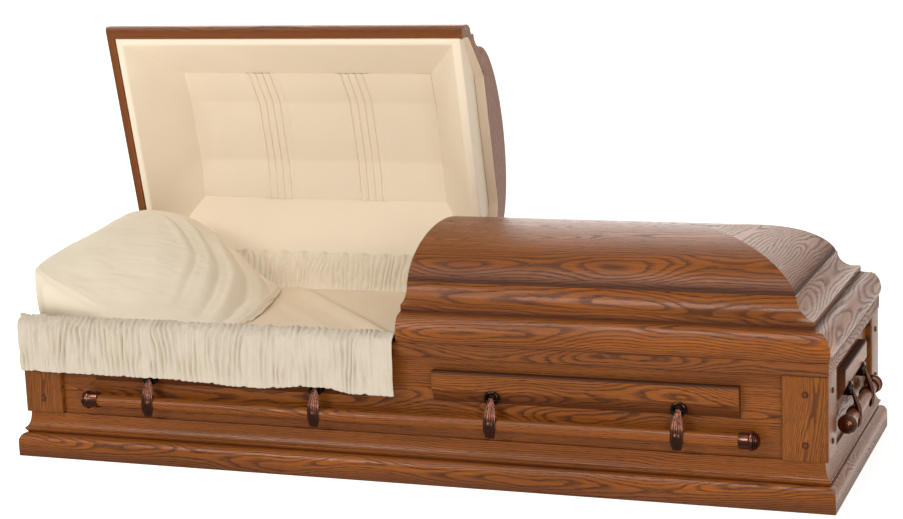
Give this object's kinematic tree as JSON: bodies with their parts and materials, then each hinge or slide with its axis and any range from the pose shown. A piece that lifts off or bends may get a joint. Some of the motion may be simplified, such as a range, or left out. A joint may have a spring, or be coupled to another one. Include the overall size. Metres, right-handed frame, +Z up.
{
  "type": "wooden coffin",
  "caption": "Stained oak coffin with a hinged head lid standing open, a closed foot lid, swing handles on all sides, a cloth lining, a bed and a pillow.",
  "frame": {"origin": "middle of the underside, where the coffin stands", "axes": "+X along the coffin towards the foot, -Y towards the front where the lids open, +Z up"},
  "size_m": [2.1646, 0.9145, 1.0577],
  "materials": {
    "stained_oak": "satin lacquer over a brown stain",
    "cream_cloth": "soft matt crepe",
    "antique_copper": "antiqued copper, lacquered",
    "dark_bronze": "dark bronze, lacquered",
    "hinge_brass": "satin"
  },
  "bodies": {
    "case": {"back_board": "stained_oak", "back_foot_corner_post": "stained_oak", "back_foot_raised_panel": "stained_oak", "back_handle_lug_1": "dark_bronze", "back_handle_lug_2": "dark_bronze", "back_handle_lug_3": "dark_bronze", "back_handle_lug_4": "dark_bronze", "back_head_corner_post": "stained_oak", "back_head_raised_panel": "stained_oak", "base_moulding": "stained_oak", "bottom_board": "stained_oak", "cap_moulding": "stained_oak", "foot_end_board": "stained_oak", "foot_end_raised_panel": "stained_oak", "foot_handle_lug_1": "dark_bronze", "foot_handle_lug_2": "dark_bronze", "front_board": "stained_oak", "front_cloth": "cream_cloth", "front_foot_corner_post": "stained_oak", "front_foot_raised_panel": "stained_oak", "front_handle_lug_1": "dark_bronze", "front_handle_lug_2": "dark_bronze", "front_handle_lug_3": "dark_bronze", "front_handle_lug_4": "dark_bronze", "front_head_corner_post": "stained_oak", "front_head_raised_panel": "stained_oak", "head_end_board": "stained_oak", "head_end_raised_panel": "stained_oak", "head_handle_lug_1": "dark_bronze", "head_handle_lug_2": "dark_bronze", "lid_hinge": "hinge_brass", "mattress": "cream_cloth", "pillow": "cream_cloth"},
    "head_lid": {"head_lid": "stained_oak", "head_lid_lining": "cream_cloth"},
    "foot_lid": {"foot_lid": "stained_oak"},
    "front_handle": {"front_handle_arm_1": "antique_copper", "front_handle_arm_2": "antique_copper", "front_handle_arm_3": "antique_copper", "front_handle_arm_4": "antique_copper", "front_handle_bar": "stained_oak", "front_handle_ferrule_1": "antique_copper", "front_handle_ferrule_2": "antique_copper"},
    "back_handle": {"back_handle_arm_1": "antique_copper", "back_handle_arm_2": "antique_copper", "back_handle_arm_3": "antique_copper", "back_handle_arm_4": "antique_copper", "back_handle_bar": "stained_oak", "back_handle_ferrule_1": "antique_copper", "back_handle_ferrule_2": "antique_copper"},
    "head_end_handle": {"head_handle_arm_1": "antique_copper", "head_handle_arm_2": "antique_copper", "head_handle_bar": "stained_oak", "head_handle_ferrule_1": "antique_copper", "head_handle_ferrule_2": "antique_copper"},
    "foot_end_handle": {"foot_handle_arm_1": "antique_copper", "foot_handle_arm_2": "antique_copper", "foot_handle_bar": "stained_oak", "foot_handle_ferrule_1": "antique_copper", "foot_handle_ferrule_2": "antique_copper"}
  },
  "joints": [
    {"name": "head_lid_hinge", "type": "hinge", "parent": "case", "child": "head_lid", "pos_m": [-0.524, 0.3592, 0.3497], "axis": [1, 0, 0], "range_deg": [0, 77.2], "deforming": ["pillow", "front_cloth"]},
    {"name": "foot_lid_hinge", "type": "hinge", "parent": "case", "child": "foot_lid", "pos_m": [0.524, 0.3592, 0.3497], "axis": [-1, 0, 0], "range_deg": [0, 77.2]},
    {"name": "front_handle_swing", "type": "hinge", "parent": "case", "child": "front_handle", "pos_m": [0.011, -0.3585, 0.2185], "axis": [-1, 0, 0], "range_deg": [0, 70]},
    {"name": "back_handle_swing", "type": "hinge", "parent": "case", "child": "back_handle", "pos_m": [0.011, 0.3585, 0.2185], "axis": [1, 0, 0], "range_deg": [0, 70]},
    {"name": "foot_end_handle_swing", "type": "hinge", "parent": "case", "child": "foot_end_handle", "pos_m": [1.0485, 0, 0.2185], "axis": [0, -1, 0], "range_deg": [0, 70]},
    {"name": "head_end_handle_swing", "type": "hinge", "parent": "case", "child": "head_end_handle", "pos_m": [-1.0485, 0, 0.2185], "axis": [0, 1, 0], "range_deg": [0, 70]}
  ]
}
